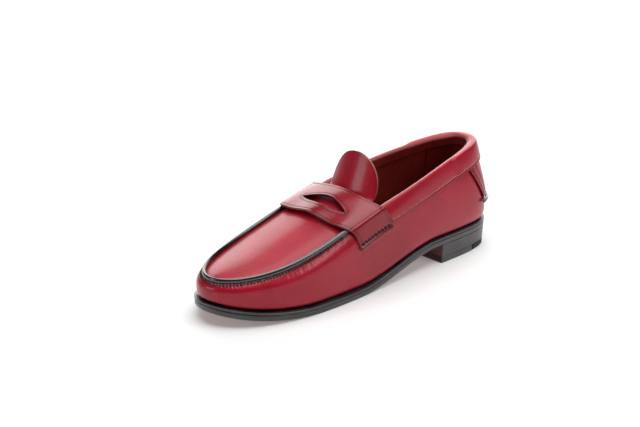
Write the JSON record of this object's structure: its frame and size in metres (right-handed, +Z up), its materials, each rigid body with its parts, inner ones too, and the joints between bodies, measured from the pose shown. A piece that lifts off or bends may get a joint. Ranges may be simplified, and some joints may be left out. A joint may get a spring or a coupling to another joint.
{
  "type": "penny loafer",
  "caption": "Left-foot slip-on leather shoe with an apron seam, slotted saddle strap, flexing tongue, lined collar and stacked heel.",
  "frame": {"origin": "centre of the bounding box at the ground plane, on which the heel and the ball of the sole stand", "axes": "+Z up, -Y towards the toe, +X towards the outer (lateral) side of a left foot"},
  "size_m": [0.0948, 0.3036, 0.1054],
  "materials": {
    "red_leather": "polished calf, cherry red",
    "dark_edge": "burnished dark brown, glossy",
    "lining_leather": "matt glazed lining",
    "sock_leather": "matt",
    "black_edge": "black edge ink, waxed",
    "sole_leather": "natural tanned",
    "thread": "waxed thread",
    "board": "leatherboard",
    "foam": "open-cell foam",
    "cork": "granulated cork",
    "rubber": "matt",
    "steel": "plain",
    "brass": "plain"
  },
  "bodies": {
    "shoe": {"outsole": "sole_leather", "midsole": "black_edge", "heel_lift_1": "black_edge", "heel_lift_2": "black_edge", "heel_lift_3": "black_edge", "top_lift": "black_edge", "top_lift_rubber": "rubber", "heel_nail_1": "brass", "heel_nail_2": "brass", "heel_nail_3": "brass", "heel_nail_4": "brass", "heel_nail_5": "brass", "insole": "board", "heel_pad": "foam", "sock_liner": "sock_leather", "cork_filler": "cork", "shank": "steel", "vamp": "red_leather", "heel_panel": "red_leather", "heel_seam_roll": "dark_edge", "heel_counter": "board", "toe_puff": "board", "heel_grip": "lining_leather", "quarter_lining_lateral": "lining_leather", "quarter_lining_medial": "lining_leather", "vamp_lining": "lining_leather", "apron": "red_leather", "apron_lining": "lining_leather", "apron_piping": "dark_edge", "penny_strap": "red_leather", "strap_thread_front": "thread", "strap_thread_back": "thread", "strap_end_thread_lateral": "thread", "strap_end_thread_medial": "thread", "apron_thread_lateral": "thread", "apron_thread_medial": "thread", "collar_band": "red_leather", "collar_thread": "thread", "panel_thread_lateral": "thread", "panel_thread_medial": "thread"},
    "tongue": {"tongue": "red_leather", "tongue_lining": "lining_leather"}
  },
  "joints": [
    {"name": "tongue_flex", "type": "hinge", "parent": "shoe", "child": "tongue", "pos_m": [0, -0.0048, 0.0698], "axis": [1, 0, 0], "range_deg": [-30, 15], "stiffness_Nm_per_rad": 0.05}
  ]
}
